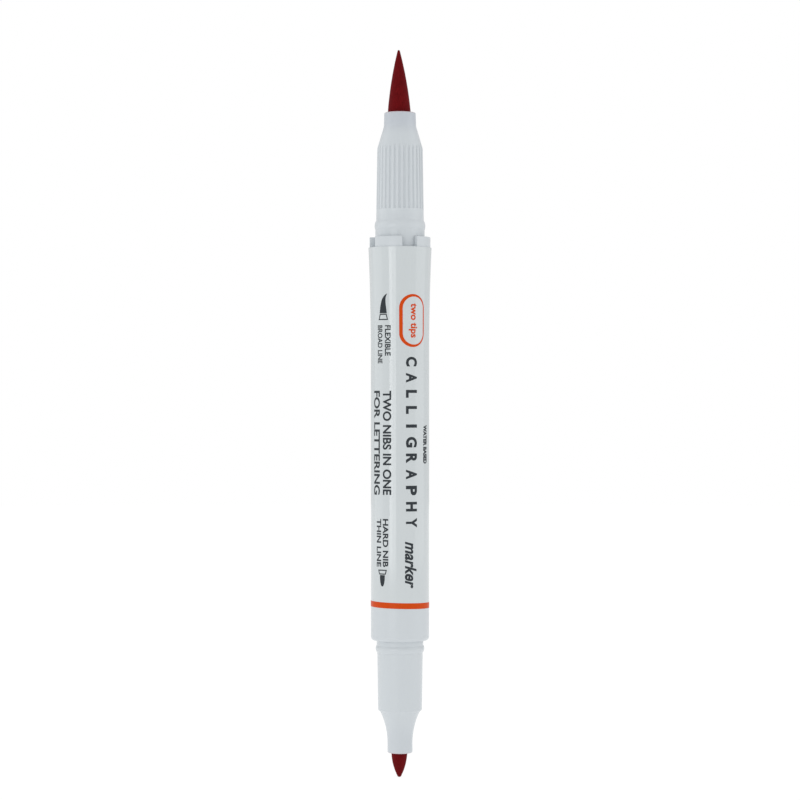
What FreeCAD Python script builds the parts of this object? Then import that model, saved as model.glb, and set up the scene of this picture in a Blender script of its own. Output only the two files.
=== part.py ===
import FreeCAD, Part
import math
import os
import Sketcher

# Double-ended calligraphy marker, uncapped, in millimetres.
# +Z runs along the marker towards the brush nib, and the origin is on its axis, halfway along the barrel.
# The barrel holds a fibre reservoir. A nib holder is pressed into each end of it, and each holder carries
# a nib whose tail reaches into the reservoir and draws the ink.

# Driving dimensions. Heights are Z positions, and radii are measured from the axis.
SIZES = {
    # barrel
    "BarrelTop": 36.2,
    "BarrelBottom": -36.4,
    "BarrelRadius": 5.38,
    "BarrelCorner": 0.75,
    "BarrelBore": 4.4,
    "FlareStart": 16.0,
    "FlareEnd": 36.1,
    "FlareGrowth": 0.44,
    "FlareCurve": 459.0,
    "TopChamferRadius": 5.63,
    "LugInnerRadius": 4.6,
    "LugRoot": 35.5,
    "LugTop": 38.08,
    "LugAngle": 60.7,
    "LugDirection": -115.7,
    "LugCount": 4,
    "LugRounding": 0.25,
    "KeelRadius": 3.75,
    "KeelRoot": 4.5,
    "KeelAngle": 11.0,
    "KeelDirection": 45.0,
    "KeelCount": 4,
    # printed film round the barrel
    "FilmRadius": 5.4,
    "FilmThickness": 0.05,
    "FilmBottom": -30.45,
    # holder of the brush nib
    "BrushMouth": 61.14,
    "CollarRadius": 2.9,
    "CollarFoot": 58.6,
    "CollarFootRadius": 2.98,
    "ConeFoot": 54.9,
    "ConeFootRadius": 4.08,
    "GripTop": 54.0,
    "GripTopRadius": 4.2,
    "GripCurve": 2.6,
    "GripFoot": 41.15,
    "GripFootRadius": 4.4,
    "BrushBeadPeak": 40.2,
    "BrushBeadRadius": 4.69,
    "BrushBeadFoot": 39.4,
    "BrushBeadCurve": 1.8,
    "BrushNeckRadius": 4.55,
    "BrushPlugEnd": 26.0,
    "BrushPlugHollow": 3.8,
    "BrushReservoirStop": 41.0,
    "MouthRounding": 0.15,
    "FluteBottom": 43.28,
    "FluteTop": 56.4,
    "FluteCutRadius": 0.24,
    "FluteCentreRadius": 4.44,
    "FluteLean": 0.9,
    "FluteDirection": -91.0,
    "FluteCount": 30,
    # brush nib
    "BrushNibRadius": 2.13,
    "BrushNibClearance": 0.05,
    "BrushNibCurve": 70.0,
    "BrushPointStart": 72.6,
    "BrushPointRadius": 0.21,
    "BrushTip": 72.74,
    "BrushShankEnd": 46.0,
    "BrushTailRadius": 1.2,
    "BrushTailClearance": 0.3,
    "BrushTailEnd": 33.0,
    # holder of the fine nib
    "FineMouth": -57.2,
    "FineTubeRadius": 2.31,
    "FineTubeTop": -55.4,
    "ShoulderCurve": 13.2,
    "ShoulderRadius": 3.62,
    "ShoulderTop": -49.65,
    "LedgeHeight": -49.25,
    "LedgeRadius": 4.05,
    "FineBodyTop": -38.7,
    "FineBodyRadius": 4.2,
    "FineBeadPeak": -37.95,
    "FineBeadRadius": 4.5,
    "FineBeadFoot": -37.3,
    "FineBeadCurve": 1.15,
    "FineNeckRadius": 4.31,
    "FinePlugEnd": -24.0,
    "FinePlugHollow": 3.8,
    "FineReservoirStop": -34.5,
    # fine nib
    "FineNibRadius": 1.47,
    "FineNibCurve": 10.1,
    "FinePointStart": -61.37,
    "FinePointRadius": 0.42,
    "FineTip": -61.73,
    "FineRodEnd": -27.0,
    # ink reservoir
    "ReservoirRadius": 3.6,
    "ReservoirTop": 40.5,
    "ReservoirBottom": -34.0,
    "WrapRadius": 3.7,
    "TailHoleGap": 0.03,
    "TailHoleDepth": 8.0,
}

AXIS = "axis"
DOME = "dome"


def make_sheet(doc):
    """Spreadsheet of the driving dimensions, one alias to a row."""
    sheet = doc.addObject("Spreadsheet::Sheet", "Sizes")
    for row, (name, value) in enumerate(SIZES.items(), start=1):
        sheet.set(f"A{row}", name)
        sheet.set(f"B{row}", str(value))
        sheet.setAlias(f"B{row}", name)
    return sheet


def amount(text):
    """Number that a sum of sheet names stands for, such as 'BarrelRadius - BarrelCorner'."""
    total = 0.0
    sign = 1.0
    for word in text.split():
        if word in ("+", "-"):
            sign = 1.0 if word == "+" else -1.0
        else:
            total += sign * SIZES[word]
    return total


def bound(text):
    """The same sum as an expression on the sheet."""
    return " ".join(word if word in ("+", "-") else "Sizes." + word for word in text.split())


def new_body(doc, label):
    body = doc.addObject("PartDesign::Body", label)
    body.Label = label
    body.Placement = FreeCAD.Placement()
    return body


def origin_part(body, role):
    """Origin plane or axis of a body, found by its role."""
    for feature in body.Origin.OriginFeatures:
        if feature.Role == role:
            return feature
    raise RuntimeError(f"{body.Label} has no {role}")


def new_sketch(body, name, plane, offset=None):
    sketch = body.newObject("Sketcher::SketchObject", name)
    sketch.AttachmentSupport = (origin_part(body, plane), [""])
    sketch.MapMode = "FlatFace"
    if offset:
        sketch.AttachmentOffset = offset
    return sketch


def corner_arc(start, end, radius, turn):
    """Short arc between two points that turns left or right on its way."""
    chord = end - start
    across = FreeCAD.Vector(-chord.y, chord.x, 0) * (1.0 / chord.Length)
    reach = math.sqrt(radius ** 2 - (chord.Length / 2) ** 2)
    side = 1.0 if turn == "left" else -1.0
    centre = (start + end) * 0.5 + across * (side * reach)
    first, last = (start, end) if turn == "left" else (end, start)
    first_angle = math.atan2(first.y - centre.y, first.x - centre.x)
    last_angle = math.atan2(last.y - centre.y, last.x - centre.x)
    if last_angle < first_angle:
        last_angle += 2 * math.pi
    circle = Part.Circle(centre, FreeCAD.Vector(0, 0, 1), radius)
    return Part.ArcOfCircle(circle, first_angle, last_angle)


def dome_radius(start, end):
    """Radius of the arc about a centre on the axis that joins a point to the axis."""
    across = start.x + end.x
    rise = abs(end.y - start.y)
    return (across ** 2 + rise ** 2) / (2 * rise)


def draw_outline(sketch, corners):
    """Closed outline through corners of (radius, height, edge that follows).

    Each corner is held by its distances from the origin, which come from the sheet. The edge is left
    out for a straight line, and for an arc it is (its radius, the way that it turns). A dome is an arc
    between a point and the axis, with its centre on the axis, so its ends settle its radius.
    """
    points = []
    for corner in corners:
        across = 0.0 if corner[0] == AXIS else amount(corner[0])
        points.append(FreeCAD.Vector(across, amount(corner[1]), 0))
    ends = []
    for index, corner in enumerate(corners):
        start = points[index]
        end = points[(index + 1) % len(points)]
        if len(corner) == 2:
            sketch.addGeometry(Part.LineSegment(start, end))
            ends.append((1, 2))
        else:
            radius, turn = corner[2]
            size = dome_radius(start, end) if radius == DOME else amount(radius)
            sketch.addGeometry(corner_arc(start, end, size, turn))
            ends.append((1, 2) if turn == "left" else (2, 1))
    for index, corner in enumerate(corners):
        following = (index + 1) % len(corners)
        sketch.addConstraint(
            Sketcher.Constraint("Coincident", index, ends[index][1], following, ends[following][0])
        )
        if corner[0] == AXIS:
            sketch.addConstraint(Sketcher.Constraint("PointOnObject", index, ends[index][0], -2))
        else:
            hold_distance(sketch, "DistanceX", index, ends[index][0], corner[0])
        hold_distance(sketch, "DistanceY", index, ends[index][0], corner[1])
        if len(corner) == 3 and corner[2][0] == DOME:
            sketch.addConstraint(Sketcher.Constraint("PointOnObject", index, 3, -2))
        elif len(corner) == 3:
            radius_text = corner[2][0]
            held = sketch.addConstraint(Sketcher.Constraint("Radius", index, amount(radius_text)))
            sketch.setExpression(f"Constraints[{held}]", bound(radius_text))


def hold_distance(sketch, kind, geometry, end, text):
    """Distance of one end of an edge from the sketch's origin, bound to the sheet."""
    held = sketch.addConstraint(Sketcher.Constraint(kind, -1, 1, geometry, end, amount(text)))
    sketch.setExpression(f"Constraints[{held}]", bound(text))


def turned(body, name, corners):
    """Solid of revolution about Z from a half section."""
    sketch = new_sketch(body, name + "Section", "XZ_Plane")
    draw_outline(sketch, corners)
    feature = body.newObject("PartDesign::Revolution", name)
    feature.Profile = sketch
    feature.ReferenceAxis = (sketch, ["V_Axis"])
    feature.Angle = 360
    return feature


def sector(body, name, direction, angle, corners):
    """Part of a ring, turned evenly to both sides of one direction from a half section."""
    turn = FreeCAD.Rotation(FreeCAD.Vector(0, 1, 0), SIZES[direction])
    sketch = new_sketch(body, name + "Section", "XZ_Plane", FreeCAD.Placement(FreeCAD.Vector(), turn))
    sketch.setExpression("AttachmentOffset.Rotation.Angle", bound(direction))
    draw_outline(sketch, corners)
    feature = body.newObject("PartDesign::Revolution", name)
    feature.Profile = sketch
    feature.ReferenceAxis = (sketch, ["V_Axis"])
    feature.Midplane = True
    feature.setExpression("Angle", bound(angle))
    return feature


def repeated(body, feature, name, count):
    """Copies of a feature evenly round the axis."""
    pattern = body.newObject("PartDesign::PolarPattern", name)
    pattern.Originals = [feature]
    pattern.Axis = (origin_part(body, "Z_Axis"), [""])
    pattern.Angle = 360
    pattern.setExpression("Occurrences", bound(count))
    body.Tip = pattern
    return pattern


def rounded(body, base, name, radius, wanted):
    """Fillet on the edges of a feature that a test picks out."""
    edges = [f"Edge{number}" for number, edge in enumerate(base.Shape.Edges, start=1) if wanted(edge)]
    fillet = body.newObject("PartDesign::Fillet", name)
    fillet.Base = (base, edges)
    fillet.Radius = SIZES[radius]
    fillet.setExpression("Radius", bound(radius))
    body.Tip = fillet
    return fillet


def make_barrel(doc):
    """Moulded tube with a flared brush end, four lugs that key the cap and keels round the reservoir."""
    body = new_body(doc, "barrel")
    under_film = "FilmRadius - FilmThickness"
    tube = turned(body, "Tube", [
        ("FineNeckRadius", "BarrelBottom"),
        ("BarrelRadius - BarrelCorner", "BarrelBottom", ("BarrelCorner", "left")),
        ("BarrelRadius", "BarrelBottom + BarrelCorner"),
        ("BarrelRadius", "FilmBottom"),
        (under_film, "FilmBottom"),
        (under_film, "FlareStart", ("FlareCurve", "right")),
        (under_film + " + FlareGrowth", "FlareEnd"),
        ("TopChamferRadius", "BarrelTop"),
        ("BrushNeckRadius", "BarrelTop"),
        ("BrushNeckRadius", "BrushPlugEnd"),
        ("BarrelBore", "BrushPlugEnd"),
        ("BarrelBore", "FinePlugEnd"),
        ("FineNeckRadius", "FinePlugEnd"),
    ])
    doc.recompute()
    tube_volume = tube.Shape.Volume

    keel = sector(body, "Keel", "KeelDirection", "KeelAngle", [
        ("KeelRadius", "FinePlugEnd"),
        ("KeelRoot", "FinePlugEnd"),
        ("KeelRoot", "BrushPlugEnd"),
        ("KeelRadius", "BrushPlugEnd"),
    ])
    doc.recompute()
    repeated(body, keel, "Keels", "KeelCount")

    lug = sector(body, "Lug", "LugDirection", "LugAngle", [
        ("LugInnerRadius", "LugRoot"),
        ("TopChamferRadius", "LugRoot"),
        ("TopChamferRadius", "LugTop"),
        ("LugInnerRadius", "LugTop"),
    ])
    doc.recompute()
    lugs = repeated(body, lug, "Lugs", "LugCount")
    doc.recompute()

    def on_lug_end(edge):
        box = edge.BoundBox
        at_top = box.ZMin > SIZES["LugTop"] - 0.01
        return at_top and edge.Curve.TypeId == "Part::GeomLine"

    rounded(body, lugs, "LugEnds", "LugRounding", on_lug_end)
    doc.recompute()
    if body.Shape.Volume <= tube_volume:
        raise RuntimeError("the lugs and keels added nothing to the barrel")
    return body


def make_label_film(doc):
    """Thin printed film that is shrunk onto the barrel, from its shoulder to below the colour ring."""
    body = new_body(doc, "label_film")
    turned(body, "Sleeve", [
        ("FilmRadius - FilmThickness", "FilmBottom"),
        ("FilmRadius", "FilmBottom"),
        ("FilmRadius", "FlareStart", ("FlareCurve", "right")),
        ("FilmRadius + FlareGrowth", "FlareEnd"),
        ("FilmRadius - FilmThickness + FlareGrowth", "FlareEnd", ("FlareCurve", "left")),
        ("FilmRadius - FilmThickness", "FlareStart"),
    ])
    return body


def make_brush_section(doc):
    """Holder of the brush nib: mouth, fluted grip, snap bead for the cap and plug in the barrel."""
    body = new_body(doc, "brush_section")
    nib_bore = "BrushNibRadius + BrushNibClearance"
    tail_bore = "BrushTailRadius + BrushTailClearance"
    holder = turned(body, "Holder", [
        ("BrushNeckRadius", "BrushPlugEnd"),
        ("BrushNeckRadius", "BrushBeadFoot", ("BrushBeadCurve", "left")),
        ("BrushBeadRadius", "BrushBeadPeak", ("BrushBeadCurve", "left")),
        ("GripFootRadius", "GripFoot"),
        ("GripTopRadius", "GripTop", ("GripCurve", "left")),
        ("ConeFootRadius", "ConeFoot"),
        ("CollarFootRadius", "CollarFoot"),
        ("CollarRadius", "BrushMouth - MouthRounding", ("MouthRounding", "left")),
        ("CollarRadius - MouthRounding", "BrushMouth"),
        (nib_bore, "BrushMouth"),
        (nib_bore, "BrushShankEnd"),
        (tail_bore, "BrushShankEnd"),
        (tail_bore, "BrushReservoirStop"),
        ("BrushPlugHollow", "BrushReservoirStop"),
        ("BrushPlugHollow", "BrushPlugEnd"),
    ])
    doc.recompute()

    place = FreeCAD.Rotation(FreeCAD.Vector(0, 0, 1), SIZES["FluteDirection"])
    lean = FreeCAD.Rotation(FreeCAD.Vector(0, 1, 0), -SIZES["FluteLean"])
    offset = FreeCAD.Placement(FreeCAD.Vector(0, 0, SIZES["FluteBottom"]), place * lean)
    flute_sketch = new_sketch(body, "FluteSection", "XY_Plane", offset)
    flute_sketch.setExpression("AttachmentOffset.Base.z", bound("FluteBottom"))
    centre = FreeCAD.Vector(SIZES["FluteCentreRadius"], 0, 0)
    flute_sketch.addGeometry(Part.Circle(centre, FreeCAD.Vector(0, 0, 1), SIZES["FluteCutRadius"]))
    flute_sketch.addConstraint(Sketcher.Constraint("PointOnObject", 0, 3, -1))
    hold_distance(flute_sketch, "DistanceX", 0, 3, "FluteCentreRadius")
    size = flute_sketch.addConstraint(Sketcher.Constraint("Radius", 0, SIZES["FluteCutRadius"]))
    flute_sketch.setExpression(f"Constraints[{size}]", bound("FluteCutRadius"))
    flute = body.newObject("PartDesign::Pocket", "Flute")
    flute.Profile = flute_sketch
    flute.Reversed = True
    flute.setExpression("Length", bound("FluteTop - FluteBottom"))
    doc.recompute()
    repeated(body, flute, "Flutes", "FluteCount")
    doc.recompute()
    if body.Shape.Volume >= holder.Shape.Volume:
        raise RuntimeError("the flutes cut nothing from the holder")
    return body


def make_brush_nib(doc):
    """Felt brush in one piece: pointed brush, shank in the holder and tail in the reservoir."""
    body = new_body(doc, "brush_nib")
    turned(body, "Brush", [
        (AXIS, "BrushTailEnd"),
        ("BrushTailRadius", "BrushTailEnd"),
        ("BrushTailRadius", "BrushShankEnd"),
        ("BrushNibRadius", "BrushShankEnd"),
        ("BrushNibRadius", "BrushMouth", ("BrushNibCurve", "left")),
        ("BrushPointRadius", "BrushPointStart", (DOME, "left")),
        (AXIS, "BrushTip"),
    ])
    return body


def make_fine_section(doc):
    """Holder of the fine nib: plug in the barrel, snap bead, body, hollow shoulder and slim tube."""
    body = new_body(doc, "fine_section")
    turned(body, "Holder", [
        ("FineNeckRadius", "FinePlugEnd"),
        ("FinePlugHollow", "FinePlugEnd"),
        ("FinePlugHollow", "FineReservoirStop"),
        ("FineNibRadius", "FineReservoirStop"),
        ("FineNibRadius", "FineMouth"),
        ("FineTubeRadius - MouthRounding", "FineMouth", ("MouthRounding", "left")),
        ("FineTubeRadius", "FineMouth + MouthRounding"),
        ("FineTubeRadius", "FineTubeTop", ("ShoulderCurve", "right")),
        ("ShoulderRadius", "ShoulderTop"),
        ("LedgeRadius", "LedgeHeight"),
        ("FineBodyRadius", "FineBodyTop", ("FineBeadCurve", "left")),
        ("FineBeadRadius", "FineBeadPeak", ("FineBeadCurve", "left")),
        ("FineNeckRadius", "FineBeadFoot"),
    ])
    return body


def make_fine_nib(doc):
    """Firm bullet nib in one piece with the rod that reaches into the reservoir."""
    body = new_body(doc, "fine_nib")
    turned(body, "Bullet", [
        (AXIS, "FineTip", (DOME, "left")),
        ("FinePointRadius", "FinePointStart", ("FineNibCurve", "left")),
        ("FineNibRadius", "FineMouth"),
        ("FineNibRadius", "FineRodEnd"),
        (AXIS, "FineRodEnd"),
    ])
    return body


def make_ink_reservoir(doc):
    """Fibre bundle with a blind hole in each end, where the tails of the nibs push in."""
    body = new_body(doc, "ink_reservoir")
    turned(body, "Bundle", [
        ("FineNibRadius + TailHoleGap", "ReservoirBottom"),
        ("ReservoirRadius", "ReservoirBottom"),
        ("ReservoirRadius", "ReservoirTop"),
        ("BrushTailRadius + TailHoleGap", "ReservoirTop"),
        ("BrushTailRadius + TailHoleGap", "ReservoirTop - TailHoleDepth"),
        (AXIS, "ReservoirTop - TailHoleDepth"),
        (AXIS, "ReservoirBottom + TailHoleDepth"),
        ("FineNibRadius + TailHoleGap", "ReservoirBottom + TailHoleDepth"),
    ])
    return body


def make_reservoir_wrap(doc):
    """Thin film jacket that holds the fibres together."""
    body = new_body(doc, "reservoir_wrap")
    turned(body, "Jacket", [
        ("ReservoirRadius", "ReservoirBottom"),
        ("WrapRadius", "ReservoirBottom"),
        ("WrapRadius", "ReservoirTop"),
        ("ReservoirRadius", "ReservoirTop"),
    ])
    return body


def check_document(doc, bodies):
    """Stops on any failed object, and on any sub-part that isn't one valid solid."""
    for item in doc.Objects:
        if "Invalid" in item.State or "Error" in item.State:
            raise RuntimeError(f"{item.Label} failed: {item.State}")
    for body in bodies:
        shape = body.Shape
        if shape.isNull() or not shape.isValid() or len(shape.Solids) != 1:
            raise RuntimeError(f"{body.Label} isn't one valid solid")


def main():
    doc = FreeCAD.newDocument("calligraphy_marker")
    make_sheet(doc)
    doc.recompute()
    makers = (
        make_barrel,
        make_label_film,
        make_brush_section,
        make_brush_nib,
        make_fine_section,
        make_fine_nib,
        make_ink_reservoir,
        make_reservoir_wrap,
    )
    bodies = [maker(doc) for maker in makers]
    doc.recompute()
    check_document(doc, bodies)
    os.makedirs("parts", exist_ok=True)
    for body in bodies:
        body.Shape.exportStep(f"parts/{body.Label}.step")
        box = body.Shape.optimalBoundingBox(False)
        print(f"{body.Label}: {body.Shape.Volume:.2f} mm3, Z {box.ZMin:.2f} to {box.ZMax:.2f}")


main()
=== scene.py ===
import math

import bmesh
import bpy
from bpy.props import FloatProperty, FloatVectorProperty, IntProperty, PointerProperty
from mathutils import Matrix, Vector, noise


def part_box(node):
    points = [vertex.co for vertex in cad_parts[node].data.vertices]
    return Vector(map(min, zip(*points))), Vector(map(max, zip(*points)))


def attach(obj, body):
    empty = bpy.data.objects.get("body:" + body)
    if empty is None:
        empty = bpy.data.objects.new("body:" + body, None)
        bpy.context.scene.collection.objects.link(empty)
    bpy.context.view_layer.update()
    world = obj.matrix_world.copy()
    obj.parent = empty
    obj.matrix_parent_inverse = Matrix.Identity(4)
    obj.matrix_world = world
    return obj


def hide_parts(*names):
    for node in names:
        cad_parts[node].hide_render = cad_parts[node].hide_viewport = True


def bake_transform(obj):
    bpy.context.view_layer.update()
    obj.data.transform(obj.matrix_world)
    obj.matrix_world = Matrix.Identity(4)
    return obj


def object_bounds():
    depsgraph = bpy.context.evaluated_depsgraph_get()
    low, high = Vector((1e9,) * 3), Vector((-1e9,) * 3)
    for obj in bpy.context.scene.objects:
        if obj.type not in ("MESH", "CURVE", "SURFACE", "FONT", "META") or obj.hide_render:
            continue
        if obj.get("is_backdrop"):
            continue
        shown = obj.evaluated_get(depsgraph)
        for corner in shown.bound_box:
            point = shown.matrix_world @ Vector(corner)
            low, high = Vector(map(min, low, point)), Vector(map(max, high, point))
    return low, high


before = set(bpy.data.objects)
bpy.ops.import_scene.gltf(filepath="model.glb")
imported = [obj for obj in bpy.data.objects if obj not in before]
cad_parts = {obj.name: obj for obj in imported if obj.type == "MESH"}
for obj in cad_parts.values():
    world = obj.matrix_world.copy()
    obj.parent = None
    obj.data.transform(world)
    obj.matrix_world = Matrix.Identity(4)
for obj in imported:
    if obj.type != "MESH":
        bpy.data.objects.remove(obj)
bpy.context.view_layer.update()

bl_info = {
    "name": "Calligraphy Marker",
    "version": (1, 0, 0),
    "blender": (4, 5, 0),
    "location": "3D View > Sidebar > Marker",
    "description": "Double-ended calligraphy marker, modelled on its packed frame",
    "category": "Object",
}

# The marker stands along Z, brush nib up, with its print towards -Y. Every length is in metres.
MM = 0.001
BARREL_LOW, BARREL_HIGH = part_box("barrel")
FILM_LOW, FILM_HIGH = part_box("label_film")
BRUSH_HOLDER_LOW, BRUSH_HOLDER_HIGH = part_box("brush_section")
FINE_HOLDER_LOW, FINE_HOLDER_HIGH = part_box("fine_section")
BRUSH_NIB_LOW, BRUSH_NIB_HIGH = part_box("brush_nib")
FINE_NIB_LOW, FINE_NIB_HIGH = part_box("fine_nib")

FULL_TURN = 2 * math.pi
ROUND_STEPS = 192
MERGE_DISTANCE = 0.0005 * MM
PICK_DISTANCE = 0.002 * MM
SHARP_ANGLE = math.radians(40)
REST_PLACE = "rest_place"


def linear_colour(code):
    """Scene-linear RGBA of an sRGB hex colour such as #CFD4D7."""
    channels = [int(code[start:start + 2], 16) / 255 for start in (1, 3, 5)]
    linear = [c / 12.92 if c <= 0.04045 else ((c + 0.055) / 1.055) ** 2.4 for c in channels]
    return (*linear, 1.0)


def length(name, description, millimetres):
    """Length property whose default is given in millimetres."""
    return FloatProperty(
        name=name, description=description, default=millimetres * MM,
        precision=5, subtype="DISTANCE", unit="LENGTH",
    )


def angle(name, description, degrees):
    """Angle property whose default is given in degrees."""
    return FloatProperty(
        name=name, description=description, default=math.radians(degrees),
        subtype="ANGLE", unit="ROTATION",
    )


def colour(name, description, code):
    """Colour property whose default is an sRGB hex colour."""
    return FloatVectorProperty(
        name=name, description=description, default=linear_colour(code),
        size=4, min=0, max=1, subtype="COLOR",
    )


class MarkerBarrelSizes(bpy.types.PropertyGroup):
    """Sizes of the barrel, the film round it and the colour ring."""

    radius: length("Barrel radius", "Outside radius below the film", 5.38)
    corner: length("End corner", "Rounding of the fine end's shoulder", 0.66)
    bore: length("Bore", "Inside radius along the middle", 4.4)
    rim: length("Rim height", "Height of the open rim between the lugs", 36.2)
    rim_radius: length("Rim radius", "Outside radius of the rim and the lugs", 5.63)
    lug_inner: length("Lug inner radius", "Inside radius of the lugs, just clear of the holder's neck", 4.6)
    brush_bore: length("Brush end bore", "Radius that the brush holder's plug is pressed into", 4.55)
    fine_bore: length("Fine end bore", "Radius that the fine holder's plug is pressed into", 4.31)
    flare_start: length("Flare start", "Height where the barrel begins to widen", 16.0)
    flare_growth: length("Flare growth", "How much the radius grows over the flare", 0.44)
    lug_angle: angle("Lug width", "Angle that one lug covers", 60.7)
    lug_direction: angle("Lug direction", "Direction of the first lug's middle", -115.7)
    lug_count: IntProperty(name="Lugs", description="Number of lugs on the rim", default=4, min=1)
    lug_rounding: length("Lug rounding", "Rounding of the lugs' edges", 0.16)
    film: length("Film thickness", "Thickness of the printed film", 0.05)
    film_radius: length("Film radius", "Outside radius of the film on the straight part", 5.4)
    seam_width: length("Film seam", "Width of the lapped seam along the back of the film", 2.4)
    ring_height: length("Ring height", "Height of the middle of the colour ring", -29.69)
    ring_width: length("Ring width", "Width of the colour ring", 1.07)
    ring_tilt: angle("Ring tilt", "How far the film's print runs off square", 1.48)
    ink: length("Ink thickness", "How far the print stands off the film", 0.012)


class MarkerHolderSizes(bpy.types.PropertyGroup):
    """Sizes of the two nib holders."""

    rounding: length("Mouth rounding", "Rounding of the mouths' outer edges", 0.22)
    collar: length("Collar radius", "Radius of the brush holder at its mouth", 2.9)
    collar_foot: length("Collar foot", "Radius of the brush holder below its collar", 2.98)
    collar_low: length("Collar low end", "Height where the collar meets the cone", 58.6)
    cone_foot: length("Cone foot", "Radius at the low end of the cone", 4.08)
    cone_low: length("Cone low end", "Height of the low end of the cone", 54.9)
    grip_top: length("Grip top radius", "Radius at the top of the grip", 4.2)
    grip_high: length("Grip top", "Height of the top of the grip", 54.0)
    grip_curve: length("Grip curve", "Radius of the curve between the cone and the grip", 2.6)
    grip_foot: length("Grip foot radius", "Radius at the foot of the grip", 4.4)
    grip_low: length("Grip foot", "Height of the foot of the grip", 41.15)
    bead: length("Brush bead radius", "Radius of the snap bead that holds the brush cap", 4.69)
    bead_high: length("Brush bead", "Height of the middle of that bead", 40.2)
    bead_low: length("Brush bead foot", "Height where that bead meets the neck", 39.4)
    bead_curve: length("Brush bead curve", "Radius of that bead's section", 1.8)
    neck: length("Neck radius", "Radius of the neck and the plug below the bead", 4.55)
    hollow: length("Plug hollow", "Inside radius of both plugs, round the reservoir", 3.8)
    brush_stop: length("Brush reservoir stop", "Height that stops the reservoir at the brush end", 41.0)
    shank_stop: length("Shank stop", "Height that stops the brush nib's shank", 46.0)
    tail_bore: length("Tail bore", "Radius of the passage for the brush nib's tail", 1.5)
    nib_gap: length("Nib clearance", "Clearance round the brush nib", 0.13)
    fine_gap: length("Bullet clearance", "Clearance round the fine nib at its mouth", 0.04)
    flute_low: length("Flute foot", "Height where the flutes end sharply", 43.28)
    flute_floor: length("Flute floor", "Radius of a flute's floor at its foot", 4.18)
    flute_radius: length("Flute section", "Radius of the round section of a flute", 0.22)
    flute_lean: angle("Flute lean", "How far a flute's floor leans towards the axis", 0.9)
    flute_direction: angle("Flute direction", "Direction of one flute", -91.0)
    flute_count: IntProperty(name="Flutes", description="Number of flutes round the grip", default=30, min=1)
    fine_neck: length("Fine neck radius", "Radius of the fine holder's neck and plug", 4.31)
    fine_bead: length("Fine bead radius", "Radius of the snap bead that holds the fine cap", 4.5)
    fine_bead_high: length("Fine bead top", "Height where that bead meets the neck", -37.3)
    fine_bead_middle: length("Fine bead", "Height of the middle of that bead", -37.95)
    fine_bead_low: length("Fine bead foot", "Height where that bead meets the body", -38.7)
    fine_bead_curve: length("Fine bead curve", "Radius of that bead's section", 1.15)
    fine_body: length("Fine body radius", "Radius of the fine holder below its bead", 4.2)
    ledge: length("Ledge radius", "Radius of the ledge where the body ends", 4.05)
    ledge_height: length("Ledge height", "Height of that ledge", -49.25)
    shoulder: length("Shoulder radius", "Radius at the top of the hollow shoulder", 3.62)
    shoulder_high: length("Shoulder top", "Height of the top of the hollow shoulder", -49.65)
    shoulder_curve: length("Shoulder curve", "Radius of the hollow shoulder's section", 13.2)
    tube: length("Tube radius", "Radius of the slim tube round the fine nib", 2.31)
    tube_high: length("Tube top", "Height where the tube meets the shoulder", -55.4)
    fine_stop: length("Fine reservoir stop", "Height that stops the reservoir at the fine end", -34.5)


class MarkerNibSizes(bpy.types.PropertyGroup):
    """Sizes of the brush nib and the fine nib."""

    brush_curve: length("Brush curve", "Radius of the brush's swelling side", 70.0)
    brush_point: length("Brush point radius", "Radius where the brush's side meets its point", 0.21)
    brush_point_rise: length("Brush point rise", "Height of the rounded point", 0.14)
    brush_shank_low: length("Brush shank foot", "Height of the foot of the shank", 46.0)
    brush_tail: length("Brush tail radius", "Radius of the tail in the reservoir", 1.2)
    brush_lean: length("Brush lean", "How far the brush's point leans to the left in its holder", 0.24)
    fine_lean: length("Bullet lean", "How far the bullet's point leans to the left in its holder", 0.13)
    fine_curve: length("Bullet curve", "Radius of the bullet's side", 10.1)
    fine_point: length("Bullet point radius", "Radius where the bullet's side meets its point", 0.42)
    fine_point_rise: length("Bullet point rise", "Height of the rounded point", 0.36)
    fibre: length("Fibre width", "Width of a felt fibre, drawn coarse enough to see", 0.09)
    fibre_relief: length("Fibre relief", "Height of the felt's uneven surface", 0.012)


class MarkerColours(bpy.types.PropertyGroup):
    """Colours of the marker's materials."""

    plastic: colour("White plastic", "Moulded polypropylene", "#C8CED2")
    plastic_thin: colour("Thin plastic", "Thin wall with an inked nib behind it", "#BCC2C9")
    film: colour("Film", "Printed film over the white barrel", "#C8CED0")
    felt: colour("Inked felt", "Felt soaked with dark red ink", "#6A0F13")
    # Painted shade between the fibres: this darker red goes where the felt's relief is lowest.
    felt_between_fibres_shade: colour("Inked felt, deep", "Felt between its fibres", "#540A0D")
    felt_sheen: colour("Felt sheen", "Light caught by the felt's loose fibre ends", "#E48A96")
    # Pink at each mouth: ink that has crept onto it, and a painted reflection of the red nib.
    stain_and_nib_reflection: colour("Ink stain", "Ink that has crept onto the mouths", "#C9989D")
    orange: colour("Orange ink", "Ring and badge", "#CA4609")
    print_dark: colour("Dark ink", "Words and signs", "#34393D")
    backdrop: colour("Backdrop", "Paper under and behind the marker", "#FFFFFF")


# ------------------------------------------------------------------ outlines and meshes

def arc_between(start, end, radius, turn, steps):
    """Points inside the short arc from one (radius, height) to another that turns left or right."""
    chord = end - start
    across = Vector((-chord.y, chord.x)).normalized()
    reach = math.sqrt(radius ** 2 - (chord.length / 2) ** 2)
    centre = (start + end) / 2 + across * (reach if turn == "left" else -reach)
    first = start - centre
    sweep = 2 * math.asin(chord.length / 2 / radius) * (1 if turn == "left" else -1)
    return [centre + Matrix.Rotation(sweep * step / steps, 2) @ first for step in range(1, steps)]


def dome_between(start, end, steps):
    """Points inside the arc about a centre on the axis from the outline to the axis, or back."""
    rise = abs(end.y - start.y)
    radius = ((start.x + end.x) ** 2 + rise ** 2) / (2 * rise)
    return arc_between(start, end, radius, "left", steps)


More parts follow.
